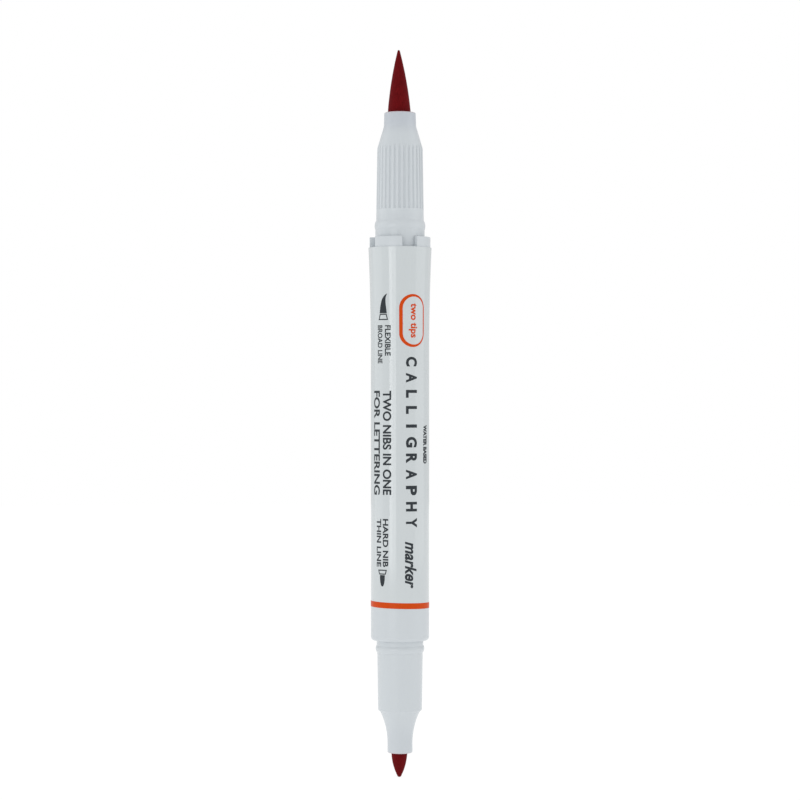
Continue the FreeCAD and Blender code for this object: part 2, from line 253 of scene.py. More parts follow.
def outline(*corners):
    """Half section from corners of (radius, height, points inside the edge that follows)."""
    points = []
    for index, corner in enumerate(corners):
        start = Vector(corner[:2])
        points.append(start)
        if len(corner) > 2:
            end = Vector(corners[(index + 1) % len(corners)][:2])
            maker, *details = corner[2]
            points.extend(maker(start, end, *details))
    return points


def draw_section(bm, points, closed):
    """Vertices and edges of a half section in the XZ plane."""
    verts = [bm.verts.new((point.x, 0, point.y)) for point in points]
    edges = [bm.edges.new(pair) for pair in zip(verts, verts[1:])]
    if closed:
        edges.append(bm.edges.new((verts[-1], verts[0])))
    return verts + edges


def close_up(bm):
    """Merges what lies together and points every face outwards."""
    bmesh.ops.remove_doubles(bm, verts=bm.verts, dist=MERGE_DISTANCE)
    bmesh.ops.recalc_face_normals(bm, faces=bm.faces)


def turned(points, closed=True, steps=ROUND_STEPS):
    """New mesh made by a full spin of a half section about Z."""
    bm = bmesh.new()
    section = draw_section(bm, points, closed)
    bmesh.ops.spin(
        bm, geom=section, cent=(0, 0, 0), axis=(0, 0, 1), angle=FULL_TURN, steps=steps, use_merge=True
    )
    close_up(bm)
    return bm


def radius_of(place):
    return math.hypot(place.x, place.y)


def verts_in(geom):
    """The vertices among what a bmesh operator gives back."""
    return [item for item in geom if isinstance(item, bmesh.types.BMVert)]


def span(bm, axis):
    """Least and greatest coordinate of a mesh along one axis."""
    places = [vert.co[axis] for vert in bm.verts]
    return min(places), max(places)


def round_edges(bm, edges, width, segments):
    """Rounds chosen edges with a bevel."""
    bmesh.ops.bevel(
        bm, geom=edges, offset=width, offset_type="OFFSET", affect="EDGES",
        segments=segments, profile=0.5, material=-1, clamp_overlap=True,
    )


def round_ring(bm, radius, height, width, segments):
    """Rounds the circular edge at one radius and height."""
    def on_ring(vert):
        return abs(radius_of(vert.co) - radius) < PICK_DISTANCE and abs(vert.co.z - height) < PICK_DISTANCE

    ring = [edge for edge in bm.edges if on_ring(edge.verts[0]) and on_ring(edge.verts[1])]
    if not ring:
        raise RuntimeError(f"no ring at radius {radius} and height {height}")
    round_edges(bm, ring, width, segments)


def new_piece(bm, name, material, weighted=True):
    """Object at the origin from a mesh, shaded smooth except across its sharp edges."""
    for face in bm.faces:
        face.smooth = True
    for edge in bm.edges:
        edge.smooth = len(edge.link_faces) == 2 and edge.calc_face_angle() < SHARP_ANGLE
    mesh = bpy.data.meshes.new(name)
    bm.to_mesh(mesh)
    bm.free()
    mesh.materials.append(material)
    piece = bpy.data.objects.new(name, mesh)
    bpy.context.scene.collection.objects.link(piece)
    if weighted:
        shading = piece.modifiers.new("weighted shading", "WEIGHTED_NORMAL")
        shading.keep_sharp = True
    return piece


def keep_rest_place(piece):
    """Stores where each vertex is at rest, so that a pattern stays on a piece that bends."""
    attribute = piece.data.attributes.new(REST_PLACE, "FLOAT_VECTOR", "POINT")
    places = [0.0] * (3 * len(piece.data.vertices))
    piece.data.vertices.foreach_get("co", places)
    attribute.data.foreach_set("vector", places)


# ------------------------------------------------------------------ materials

# Real sizes of the patterns. The width of a felt fibre is one of the nibs' sizes.
FLOW_MARK = 5 * MM
MOULD_GRAIN = 0.12 * MM
FILM_WAVE = 7 * MM
FILM_DUST = 0.3 * MM
FELT_BLOTCH = 1.6 * MM
BUNDLE_FIBRE = 0.2 * MM
JACKET_CREASE = 2 * MM
INK_MOTTLE = 0.4 * MM
# Depth of the pink band at each mouth: ink stain and painted reflection of the red nib.
STAIN_AND_REFLECTION_DEPTH = 0.22 * MM


def add_node(tree, kind, settings=None, links=None):
    """Adds a node, sets its options and sockets, and links its inputs."""
    node = tree.nodes.new(kind)
    for key, value in (settings or {}).items():
        if isinstance(key, str) and hasattr(node, key):
            setattr(node, key, value)
        else:
            node.inputs[key].default_value = value
    for key, source in (links or {}).items():
        tree.links.new(source, node.inputs[key])
    return node


def new_material(name, settings):
    """Material with a Principled shader, and its tree and shader to build on."""
    material = bpy.data.materials.get(name)
    if material:
        return material, None, None
    material = bpy.data.materials.new(name)
    material.use_nodes = True
    tree = material.node_tree
    shader = tree.nodes["Principled BSDF"]
    for key, value in settings.items():
        shader.inputs[key].default_value = value
    return material, tree, shader


def toned(tree, base, pattern, least, most):
    """Base colour, plain or from a socket, that a pattern makes darker and lighter."""
    tone = add_node(tree, "ShaderNodeMapRange", {"To Min": least, "To Max": most}, {"Value": pattern})
    shade = add_node(tree, "ShaderNodeVectorMath", {"operation": "SCALE"}, {"Scale": tone.outputs["Result"]})
    if isinstance(base, bpy.types.NodeSocket):
        tree.links.new(base, shade.inputs[0])
    else:
        shade.inputs[0].default_value = base[:3]
    return shade.outputs[0]


def near_mouths(tree, height, brush_reach, fine_reach, fine_most=1.0):
    """How near a place is to a nib's mouth: 0 far from both, 1 at the brush's and fine_most at the other.

    Each reach gives how far from its mouth the rise starts, and how far from it the rise is complete.
    """
    mouths = (
        (BRUSH_HOLDER_HIGH.z, -1, brush_reach, 1.0),
        (FINE_HOLDER_LOW.z, 1, fine_reach, fine_most),
    )
    rises = {}
    for index, (mouth, inward, reach, most) in enumerate(mouths):
        start, end = (mouth + inward * distance for distance in reach)
        rises[index] = add_node(tree, "ShaderNodeMapRange", {
            "interpolation_type": "SMOOTHSTEP", "From Min": start, "From Max": end, "To Max": most,
        }, {"Value": height}).outputs["Result"]
    return add_node(tree, "ShaderNodeMath", {"operation": "MAXIMUM"}, rises).outputs[0]


def link_patterns(tree, shader, relief, strength, depth, gloss=None, colour=None):
    """Gives a shader its fine relief and, where they vary, its roughness and its base colour.

    gloss is a pattern with the roughness that it runs from and to.
    """
    bump = add_node(tree, "ShaderNodeBump", {"Strength": strength, "Distance": depth}, {"Height": relief})
    tree.links.new(bump.outputs[0], shader.inputs["Normal"])
    if gloss is not None:
        pattern, least, most = gloss
        rough = add_node(tree, "ShaderNodeMapRange", {"To Min": least, "To Max": most}, {"Value": pattern})
        tree.links.new(rough.outputs["Result"], shader.inputs["Roughness"])
    if colour is not None:
        tree.links.new(colour, shader.inputs["Base Color"])


def moulded_polypropylene(colours):
    """Injection-moulded polypropylene: satin, with the fine grain of the mould.

    The eye sees a soft wide sheen, faint flow marks some millimetres long, a greyer tint where the wall
    is thin round an inked nib, and pink at the rim of each mouth: ink that has crept onto it, with a painted
    reflection of the red nib.
    """
    material, tree, shader = new_material("moulded_polypropylene", {
        "IOR": 1.49, "Specular IOR Level": 0.45,
    })
    if tree is None:
        return material
    place = add_node(tree, "ShaderNodeTexCoord").outputs["Object"]
    height = add_node(tree, "ShaderNodeSeparateXYZ", links={"Vector": place}).outputs["Z"]
    along = add_node(tree, "ShaderNodeMapping", {"Scale": (1, 1, 0.3)}, {"Vector": place})
    flow = add_node(
        tree, "ShaderNodeTexNoise", {"Scale": 1 / FLOW_MARK, "Detail": 2.0}, {"Vector": along.outputs[0]}
    ).outputs["Fac"]
    grain = add_node(
        tree, "ShaderNodeTexNoise", {"Scale": 1 / MOULD_GRAIN, "Detail": 3.0}, {"Vector": place}
    ).outputs["Fac"]
    thin = near_mouths(tree, height, (4.5 * MM, 1.5 * MM), (7 * MM, 2 * MM), fine_most=0.3)
    wall = add_node(tree, "ShaderNodeMix", {
        "data_type": "RGBA", "A": colours.plastic, "B": colours.plastic_thin,
    }, {"Factor": thin}).outputs["Result"]
    # Pink band at each mouth: ink stain, with a painted reflection of the red nib.
    stain_and_nib_reflection = near_mouths(tree, height, (STAIN_AND_REFLECTION_DEPTH, 0), (STAIN_AND_REFLECTION_DEPTH, 0))
    patchy = add_node(tree, "ShaderNodeMath", {"operation": "MULTIPLY"}, {0: stain_and_nib_reflection, 1: flow}).outputs[0]
    base = add_node(tree, "ShaderNodeMix", {"data_type": "RGBA", "B": colours.stain_and_nib_reflection}, {
        "Factor": patchy, "A": toned(tree, wall, flow, 0.965, 1.03),
    }).outputs["Result"]
    link_patterns(tree, shader, grain, 0.25, 0.004 * MM, gloss=(flow, 0.26, 0.36), colour=base)
    return material


def shrunk_polyester(colours):
    """Shrunk polyester film: glossy, with slight waves where it has drawn tight.

    The eye sees narrow, fairly crisp reflections that waver a little along the barrel.
    """
    material, tree, shader = new_material("shrunk_polyester", {"IOR": 1.5})
    if tree is None:
        return material
    place = add_node(tree, "ShaderNodeTexCoord").outputs["Object"]
    along = add_node(tree, "ShaderNodeMapping", {"Scale": (1, 1, 0.35)}, {"Vector": place})
    wave = add_node(
        tree, "ShaderNodeTexNoise", {"Scale": 1 / FILM_WAVE, "Detail": 1.0}, {"Vector": along.outputs[0]}
    ).outputs["Fac"]
    dust = add_node(
        tree, "ShaderNodeTexNoise", {"Scale": 1 / FILM_DUST, "Detail": 2.0}, {"Vector": place}
    ).outputs["Fac"]
    shade = toned(tree, colours.film, wave, 0.975, 1.02)
    link_patterns(tree, shader, wave, 0.3, 0.02 * MM, gloss=(dust, 0.05, 0.11), colour=shade)
    return material


def bonded_felt(colours, sizes):
    """Bonded polyester felt soaked with ink: matt fibres that run along the nib.

    The eye sees fine streaks from mouth to point, with painted shade between the fibres where the relief is
    lowest, and a damp, dull sheen.
    """
    material, tree, shader = new_material("bonded_felt", {
        "Roughness": 0.8, "IOR": 1.45, "Specular IOR Level": 0.04,
        "Sheen Weight": 0.14, "Sheen Roughness": 0.5, "Sheen Tint": colours.felt_sheen[:],
    })
    if tree is None:
        return material
    place = add_node(tree, "ShaderNodeAttribute", {"attribute_name": REST_PLACE}).outputs["Vector"]
    along = add_node(tree, "ShaderNodeMapping", {"Scale": (1, 1, 0.06)}, {"Vector": place})
    fibres = add_node(
        tree, "ShaderNodeTexNoise", {"Scale": 1 / sizes.fibre, "Detail": 3.0, "Roughness": 0.6},
        {"Vector": along.outputs[0]},
    ).outputs["Fac"]
    blotch = add_node(
        tree, "ShaderNodeTexNoise", {"Scale": 1 / FELT_BLOTCH, "Detail": 2.0}, {"Vector": place}
    ).outputs["Fac"]
    # Painted shade: the felt turns to the darker red where the fibre relief is lowest.
    streak = add_node(tree, "ShaderNodeMapRange", {"From Min": 0.35, "From Max": 0.65}, {"Value": fibres})
    mixed = add_node(tree, "ShaderNodeMix", {
        "data_type": "RGBA", "A": colours.felt_between_fibres_shade, "B": colours.felt,
    }, {"Factor": streak.outputs["Result"]}).outputs["Result"]
    link_patterns(tree, shader, fibres, 0.6, 0.03 * MM, colour=toned(tree, mixed, blotch, 0.8, 1.2))
    return material


def bundled_fibre(colours):
    """Crimped polyester fibre soaked with ink: coarser and softer than felt."""
    material, tree, shader = new_material("bundled_fibre", {
        "Roughness": 0.9, "IOR": 1.45, "Specular IOR Level": 0.1,
    })
    if tree is None:
        return material
    place = add_node(tree, "ShaderNodeTexCoord").outputs["Object"]
    along = add_node(tree, "ShaderNodeMapping", {"Scale": (1, 1, 0.1)}, {"Vector": place})
    fibres = add_node(
        tree, "ShaderNodeTexNoise", {"Scale": 1 / BUNDLE_FIBRE, "Detail": 3.0}, {"Vector": along.outputs[0]}
    ).outputs["Fac"]
    # Painted shade: the fibres turn to the darker red where their relief is lowest.
    mixed = add_node(tree, "ShaderNodeMix", {
        "data_type": "RGBA", "A": colours.felt_between_fibres_shade, "B": colours.felt,
    }, {"Factor": fibres}).outputs["Result"]
    link_patterns(tree, shader, fibres, 0.8, 0.08 * MM, colour=mixed)
    return material


def clear_jacket(colours):
    """Clear polypropylene film round the fibre bundle, slightly creased."""
    material, tree, shader = new_material("clear_jacket", {
        "Base Color": colours.film[:], "Roughness": 0.15, "IOR": 1.49, "Transmission Weight": 0.85,
    })
    if tree is None:
        return material
    place = add_node(tree, "ShaderNodeTexCoord").outputs["Object"]
    creases = add_node(
        tree, "ShaderNodeTexNoise", {"Scale": 1 / JACKET_CREASE, "Detail": 2.0}, {"Vector": place}
    ).outputs["Fac"]
    link_patterns(tree, shader, creases, 0.4, 0.03 * MM)
    return material


def printing_ink(name, base):
    """Printing ink: a thin even coat, slightly mottled where it has soaked unevenly."""
    material, tree, shader = new_material(name, {
        "Roughness": 0.35, "IOR": 1.5, "Specular IOR Level": 0.1,
    })
    if tree is None:
        return material
    place = add_node(tree, "ShaderNodeTexCoord").outputs["Object"]
    mottle = add_node(
        tree, "ShaderNodeTexNoise", {"Scale": 1 / INK_MOTTLE, "Detail": 2.0}, {"Vector": place}
    ).outputs["Fac"]
    tree.links.new(toned(tree, base, mottle, 0.92, 1.08), shader.inputs["Base Color"])
    return material


def pale_paper(colours):
    """Backdrop paper, lit so evenly that it is almost white, with a faint shadow left on it."""
    material, tree, shader = new_material("pale_paper", {
        "Base Color": colours.backdrop[:], "Roughness": 1.0, "Specular IOR Level": 0.0,
    })
    if tree is None:
        return material
    glow = add_node(tree, "ShaderNodeEmission", {"Color": colours.backdrop[:], "Strength": 1.06})
    glow_share = 0.85
    mixed = add_node(tree, "ShaderNodeMixShader", {0: glow_share}, {
        1: shader.outputs[0], 2: glow.outputs[0],
    })
    tree.links.new(mixed.outputs[0], tree.nodes["Material Output"].inputs["Surface"])
    return material


# ------------------------------------------------------------------ barrel and film

def flare_arc(start, end, sizes, turn):
    """Points of the gentle flare, which leaves the straight part without a kink."""
    rise = abs(end.y - start.y)
    growth = sizes.flare_growth
    radius = (rise ** 2 + growth ** 2) / (2 * growth)
    return arc_between(start, end, radius, turn, steps=16)


def film_radius_at(height, sizes):
    """Outside radius of the film at a height."""
    climb = max(0.0, (height - sizes.flare_start) / (FILM_HIGH.z - sizes.flare_start))
    return sizes.film_radius + sizes.flare_growth * climb ** 2


def lift_over_seam(bm, sizes):
    """Raises what lies on the film's outside where its two edges overlap at the back."""
    half_seam = sizes.seam_width / 2
    lap = 0.8 * sizes.film
    for vert in bm.verts:
        outside = radius_of(vert.co) > film_radius_at(vert.co.z, sizes) - sizes.film / 2
        if outside and vert.co.y > 0 and abs(vert.co.x) < half_seam:
            lift = lap / radius_of(vert.co)
            vert.co.x += vert.co.x * lift
            vert.co.y += vert.co.y * lift


def barrel_outline(sizes):
    under_film = sizes.film_radius - sizes.film
    bottom = BARREL_LOW.z
    return outline(
        (sizes.fine_bore, bottom),
        (sizes.radius - sizes.corner, bottom, (arc_between, sizes.corner, "left", 8)),
        (sizes.radius, bottom + sizes.corner),
        (sizes.radius, FILM_LOW.z),
        (under_film, FILM_LOW.z),
        (under_film, sizes.flare_start, (flare_arc, sizes, "right")),
        (under_film + sizes.flare_growth, FILM_HIGH.z),
        (sizes.rim_radius, sizes.rim),
        (sizes.lug_inner, sizes.rim),
        (sizes.brush_bore, sizes.rim),
        (sizes.brush_bore, BRUSH_HOLDER_LOW.z),
        (sizes.bore, BRUSH_HOLDER_LOW.z),
        (sizes.bore, FINE_HOLDER_HIGH.z),
        (sizes.fine_bore, FINE_HOLDER_HIGH.z),
    )


def spin_between_lugs(bm, section, sizes):
    """Spins the barrel's section in arcs that start and end where the lugs do."""
    pitch = FULL_TURN / sizes.lug_count
    start = sizes.lug_direction - sizes.lug_angle / 2
    bmesh.ops.rotate(
        bm, verts=verts_in(section), cent=(0, 0, 0), matrix=Matrix.Rotation(start, 3, "Z")
    )
    for _ in range(sizes.lug_count):
        for sweep in (sizes.lug_angle, pitch - sizes.lug_angle):
            steps = round(ROUND_STEPS * sweep / FULL_TURN)
            made = bmesh.ops.spin(
                bm, geom=section, cent=(0, 0, 0), axis=(0, 0, 1), angle=sweep, steps=steps
            )
            section = made["geom_last"]
    close_up(bm)


def raise_lugs(bm, sizes):
    """Extrudes the lugs from the rim and rounds their edges."""
    pitch = FULL_TURN / sizes.lug_count

    def in_lug(place):
        turn = (math.atan2(place.y, place.x) - sizes.lug_direction + pitch / 2) % pitch - pitch / 2
        return abs(turn) < sizes.lug_angle / 2

    middle = (sizes.rim_radius + sizes.lug_inner) / 2
    land = [
        face for face in bm.faces
        if abs(face.calc_center_median().z - sizes.rim) < PICK_DISTANCE
        and abs(radius_of(face.calc_center_median()) - middle) < (sizes.rim_radius - middle)
        and in_lug(face.calc_center_median())
    ]
    tops = verts_in(bmesh.ops.extrude_face_region(bm, geom=land)["geom"])
    bmesh.ops.translate(bm, verts=tops, vec=(0, 0, BARREL_HIGH.z - sizes.rim))
    bmesh.ops.recalc_face_normals(bm, faces=bm.faces)

    def lug_edge(edge):
        above = all(vert.co.z > BARREL_HIGH.z - PICK_DISTANCE for vert in edge.verts)
        upright = abs(edge.verts[0].co.z - edge.verts[1].co.z) > (BARREL_HIGH.z - sizes.rim) / 2
        high = max(vert.co.z for vert in edge.verts) > BARREL_HIGH.z - PICK_DISTANCE
        return (above or (upright and high)) and edge.calc_face_angle(0) > SHARP_ANGLE

    round_edges(bm, [edge for edge in bm.edges if lug_edge(edge)], sizes.lug_rounding, 4)


class MARKER_OT_barrel(bpy.types.Operator):
    """Models the moulded barrel with its flare, its lugs and its bore"""

    bl_idname = "marker.barrel"
    bl_label = "Barrel"

    def execute(self, context):
        sizes = context.scene.marker_barrel
        bm = bmesh.new()
        section = draw_section(bm, barrel_outline(sizes), closed=True)
        spin_between_lugs(bm, section, sizes)
        raise_lugs(bm, sizes)
        barrel = new_piece(
            bm, "barrel_tube", moulded_polypropylene(context.scene.marker_colours)
        )
        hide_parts("barrel")
        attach(barrel, "marker")
        return {"FINISHED"}


class MARKER_OT_film(bpy.types.Operator):
    """Models the printed film that is shrunk round the barrel, with the lapped seam along its back"""

    bl_idname = "marker.film"
    bl_label = "Printed film"

    def execute(self, context):
        sizes = context.scene.marker_barrel
        inner = sizes.film_radius - sizes.film
        grown = sizes.flare_growth
        bm = turned(outline(
            (inner, FILM_LOW.z),
            (sizes.film_radius, FILM_LOW.z),
            (sizes.film_radius, sizes.flare_start, (flare_arc, sizes, "right")),
            (sizes.film_radius + grown, FILM_HIGH.z),
            (inner + grown, FILM_HIGH.z, (flare_arc, sizes, "left")),
            (inner, sizes.flare_start),
        ))
        lift_over_seam(bm, sizes)
        film = new_piece(
            bm, "film_sleeve", shrunk_polyester(context.scene.marker_colours)
        )
        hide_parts("label_film")
        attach(film, "marker")
        return {"FINISHED"}


# ------------------------------------------------------------------ print on the film

# The small words, in millimetres: how long they run down the marker, how high they rise, how bold they
# are, the height where they start, and how far round the film they stand from the line that faces -Y.
SMALL_WORDS = (
    ("WATER BASED", 7.1, 1.2, 0.06, 3.4, 4.9),
    ("FLEXIBLE", 5.6, 1.15, 0.028, 21.7, -2.9),
    ("BROAD LINE", 7.0, 1.15, 0.028, 21.7, -4.6),
    ("TWO NIBS IN ONE", 19.1, 1.75, 0.028, 9.7, -3.36),
    ("FOR LETTERING", 19.1, 1.75, 0.028, 9.7, -5.8),
    ("HARD NIB", 8.8, 1.15, 0.028, -13.8, -3.36),
    ("THIN LINE", 8.8, 1.15, 0.028, -13.8, -4.9),
)

def thicken(bm, sizes):
    """Gives flat faces the thickness of the ink, half of it below the film's surface."""
    tops = verts_in(bmesh.ops.extrude_face_region(bm, geom=bm.faces[:])["geom"])
    bmesh.ops.translate(bm, verts=bm.verts, vec=(0, 0, -sizes.ink))
    bmesh.ops.translate(bm, verts=tops, vec=(0, 0, 2 * sizes.ink))
    bmesh.ops.recalc_face_normals(bm, faces=bm.faces)


def wrap_on_film(bm, top, across, sizes):
    """Wraps a flat print round the film: its X runs down the marker, and its Y goes round to the right.

    top is the height where the print starts, and across is how far round, along the film, its own
    zero lies from the line that faces -Y.
    """
    close_up(bm)
    low, high = span(bm, 1)
    strip = 0.25 * MM
    for number in range(1, math.ceil((high - low) / strip)):
        bmesh.ops.bisect_plane(
            bm, geom=bm.verts[:] + bm.edges[:] + bm.faces[:], dist=MERGE_DISTANCE,
            plane_co=(0, low + number * strip, 0), plane_no=(0, 1, 0),
        )
    for vert in bm.verts:
        height = top - vert.co.x
        surface = film_radius_at(height, sizes)
        turn = (across + vert.co.y) / surface
        radius = surface + vert.co.z
        vert.co = (radius * math.sin(turn), -radius * math.cos(turn), height)


def flat_words(words, run, rise, weight, slant=0.0):
    """Flat mesh of words that starts at zero and is run long and rise high."""
    text = bpy.data.curves.new("words", "FONT")
    text.body = words
    text.offset = weight
    text.shear = slant
    text.resolution_u = 6
    text.fill_mode = "FRONT"
    holder = bpy.data.objects.new("words", text)
    bpy.context.scene.collection.objects.link(holder)
    bpy.context.view_layer.update()
    mesh = bpy.data.meshes.new_from_object(holder)
    bpy.data.objects.remove(holder)
    bpy.data.curves.remove(text)
    bm = bmesh.new()
    bm.from_mesh(mesh)
    bpy.data.meshes.remove(mesh)
    close_up(bm)
    left, right = span(bm, 0)
    low, high = span(bm, 1)
    bmesh.ops.translate(bm, verts=bm.verts, vec=(-left, -low, 0))
    bmesh.ops.scale(bm, verts=bm.verts, vec=(run / (right - left), rise / (high - low), 1))
    return bm


def flat_taper(run, half_width, drift, steps=32):
    """Flat strip whose half width and sideways drift are functions of its place from 0 to 1."""
    bm = bmesh.new()
    bmesh.ops.create_grid(bm, x_segments=steps, y_segments=2, size=0.5)
    for vert in bm.verts:
        place = vert.co.x + 0.5
        side = 2 * vert.co.y
        vert.co = (place * run, side * half_width(place) + drift(place), 0)
    bmesh.ops.remove_doubles(bm, verts=bm.verts, dist=MERGE_DISTANCE)
    return bm


def flat_ferrule(run, top_width, foot_width, stroke):
    """Flat outline of a small trapezium with a stroke of even width."""
    bm = bmesh.new()
    bmesh.ops.create_grid(bm, x_segments=1, y_segments=1, size=0.5)
    for vert in bm.verts:
        width = foot_width if vert.co.x > 0 else top_width
        vert.co = ((vert.co.x + 0.5) * run, vert.co.y * width, 0)
    middle = bm.faces[:]
    bmesh.ops.inset_region(bm, faces=middle, thickness=stroke, use_even_offset=True, use_boundary=True)
    bmesh.ops.delete(bm, geom=middle, context="FACES")
    return bm


def flat_badge(run, width, broad, narrow):
    """Flat outline of a capsule, centred on zero across, whose stroke narrows to the right."""
    bm = bmesh.new()
    ring = bmesh.ops.create_circle(bm, segments=64, radius=width / 2)["verts"]
    inner_verts = verts_in(bmesh.ops.extrude_edge_only(bm, edges=bm.edges[:])["geom"])
    shrink = 1 - (broad + narrow) / width
    bmesh.ops.scale(bm, verts=inner_verts, vec=(shrink, shrink, 1))
    bmesh.ops.translate(bm, verts=inner_verts, vec=(0, (broad - narrow) / 2, 0))
    stretch = (run - width) / 2
    for vert in ring + inner_verts:
        side = 1 if vert.co.x > MERGE_DISTANCE else -1
        vert.co.x += side * stretch + run / 2
    return bm


def print_piece(parts, name, material, sizes):
    """One piece from several flat prints, each given as (mesh, top, across)."""
    whole = bmesh.new()
    for bm, top, across in parts:
        thicken(bm, sizes)
        wrap_on_film(bm, top, across, sizes)
        mesh = bpy.data.meshes.new("part")
        bm.to_mesh(mesh)
        bm.free()
        whole.from_mesh(mesh)
        bpy.data.meshes.remove(mesh)
    piece = new_piece(whole, name, material, weighted=False)
    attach(piece, "marker")
    return piece


def spaced_letters(word, top, across, pitch, rise, weight):
    """Capitals set one by one at an even pitch down the marker."""
    usual_width = 0.8
    other_widths = {"I": 0.27, "L": 0.66, "G": 0.88}
    parts = []
    for index, letter in enumerate(word):
        width = rise * other_widths.get(letter, usual_width)
        start = top - index * pitch - (pitch - width) / 2
        parts.append((flat_words(letter, width, rise, weight), start, across))
    return parts


class MARKER_OT_print(bpy.types.Operator):
    """Prints the colour ring, the badge, the words and the signs for the two nibs on the film"""

    bl_idname = "marker.print"
    bl_label = "Print"

    def execute(self, context):
        sizes = context.scene.marker_barrel
        colours = context.scene.marker_colours
        orange = printing_ink("orange_printing_ink", colours.orange)
        dark = printing_ink("dark_printing_ink", colours.print_dark)

        half = sizes.ring_width / 2
        ring = turned(outline(
            (sizes.film_radius - sizes.ink, sizes.ring_height - half),
            (sizes.film_radius + sizes.ink, sizes.ring_height - half),
            (sizes.film_radius + sizes.ink, sizes.ring_height + half),
            (sizes.film_radius - sizes.ink, sizes.ring_height + half),
        ))
        for vert in ring.verts:
            vert.co.z -= vert.co.x * math.tan(sizes.ring_tilt)
        lift_over_seam(ring, sizes)
        ring_piece = new_piece(ring, "colour_ring", orange)
        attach(ring_piece, "marker")

        badge = flat_badge(run=9.7 * MM, width=5.2 * MM, broad=0.66 * MM, narrow=0.26 * MM)
        print_piece([
            (badge, 27.4 * MM, 2.44 * MM),
            (flat_words("two tips", run=6.3 * MM, rise=1.75 * MM, weight=0.028), 25.7 * MM, 1.6 * MM),
        ], "orange_badge", orange, sizes)

        capitals = spaced_letters(
            "CALLIGRAPHY", top=16.5 * MM, across=1.1 * MM, pitch=2.95 * MM, rise=2.2 * MM, weight=0.045
        )
        slanted = flat_words("marker", run=8.6 * MM, rise=2.3 * MM, weight=0.03, slant=0.3)
        small = [
            (flat_words(words, run * MM, rise * MM, weight), top * MM, across * MM)
            for words, run, rise, weight, top, across in SMALL_WORDS
        ]
        print_piece([
            *capitals, (slanted, -17.9 * MM, 0.9 * MM), *small,
        ], "dark_words", dark, sizes)

        def brush_width(place):
            return 0.8 * MM * place ** 0.6

        def brush_drift(place):
            return 0.83 * MM * (1 - place) ** 5

        def bullet_width(place):
            return 0.56 * MM * math.sqrt(max(0.0, 1 - place ** 2.4))

        brush_ferrule = flat_ferrule(run=1.15 * MM, top_width=1.5 * MM, foot_width=2.1 * MM, stroke=0.2 * MM)
        bullet_ferrule = flat_ferrule(run=0.9 * MM, top_width=2.0 * MM, foot_width=1.5 * MM, stroke=0.2 * MM)
        brush_across = -3.3 * MM
        bullet_across = -3.48 * MM
        print_piece([
            (flat_taper(3.6 * MM, brush_width, brush_drift), 27.5 * MM, brush_across),
            (brush_ferrule, 23.8 * MM, brush_across),
            (bullet_ferrule, -23.1 * MM, bullet_across),
            (flat_taper(2.1 * MM, bullet_width, lambda place: 0.0), -24.1 * MM, bullet_across),
        ], "nib_signs", dark, sizes)
        return {"FINISHED"}


# ------------------------------------------------------------------ nib holders

def grip_rows(start, end, sizes):
    """Points up the grip, a millimetre apart and much closer together where the flutes start."""
    steps = (-0.5, -0.06, -0.02, 0.02, 0.06, 0.3, *range(1, 11))
    heights = [sizes.flute_low + step * MM for step in steps]
    return [start.lerp(end, (height - start.y) / (end.y - start.y)) for height in heights]


def cone_rows(start, end, rows):
    """Points up the cone, close enough together for the flutes to fade out in it."""
    return [start.lerp(end, row / rows) for row in range(1, rows)]


def cut_flutes(bm, sizes):
    """Moves the grip's vertices in to the floor of the flutes that cover them."""
    pitch = FULL_TURN / sizes.flute_count
    for vert in bm.verts:
        radius = radius_of(vert.co)
        if vert.co.z < sizes.flute_low or radius <= sizes.collar:
            continue
        turn = math.atan2(vert.co.y, vert.co.x) - sizes.flute_direction
        turn = (turn + pitch / 2) % pitch - pitch / 2
        aside = abs(turn) * radius
        if aside >= sizes.flute_radius:
            continue
        floor = sizes.flute_floor - (vert.co.z - sizes.flute_low) * math.tan(sizes.flute_lean)
        wall = floor + sizes.flute_radius - math.sqrt(sizes.flute_radius ** 2 - aside ** 2)
        if wall < radius:
            vert.co.x *= wall / radius
            vert.co.y *= wall / radius


class MARKER_OT_brush_holder(bpy.types.Operator):
    """Models the brush nib's holder with its collar, fluted grip, snap bead and plug"""

    bl_idname = "marker.brush_holder"
    bl_label = "Brush nib holder"

    def execute(self, context):
        sizes = context.scene.marker_holders
        mouth = BRUSH_HOLDER_HIGH.z
        nib_bore = BRUSH_NIB_HIGH.x + sizes.nib_gap
        bm = turned(outline(
            (sizes.neck, BRUSH_HOLDER_LOW.z),
            (sizes.neck, sizes.bead_low, (arc_between, sizes.bead_curve, "left", 6)),
            (sizes.bead, sizes.bead_high, (arc_between, sizes.bead_curve, "left", 6)),
            (sizes.grip_foot, sizes.grip_low, (grip_rows, sizes)),
            (sizes.grip_top, sizes.grip_high, (arc_between, sizes.grip_curve, "left", 6)),
            (sizes.cone_foot, sizes.cone_low, (cone_rows, 14)),
            (sizes.collar_foot, sizes.collar_low),
            (sizes.collar, mouth),
            (nib_bore, mouth),
            (nib_bore, sizes.shank_stop),
            (sizes.tail_bore, sizes.shank_stop),
            (sizes.tail_bore, sizes.brush_stop),
            (sizes.hollow, sizes.brush_stop),
            (sizes.hollow, BRUSH_HOLDER_LOW.z),
        ), steps=12 * sizes.flute_count)
        round_ring(bm, sizes.collar, mouth, sizes.rounding, 4)
        round_ring(bm, nib_bore, mouth, sizes.rounding / 2, 3)
        round_ring(bm, sizes.collar_foot, sizes.collar_low, 2 * sizes.rounding, 3)
        round_ring(bm, sizes.neck, BRUSH_HOLDER_LOW.z, sizes.rounding, 2)
        cut_flutes(bm, sizes)
        bmesh.ops.recalc_face_normals(bm, faces=bm.faces)
        holder = new_piece(
            bm, "brush_holder", moulded_polypropylene(context.scene.marker_colours)
        )
        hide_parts("brush_section")
        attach(holder, "marker")
        return {"FINISHED"}


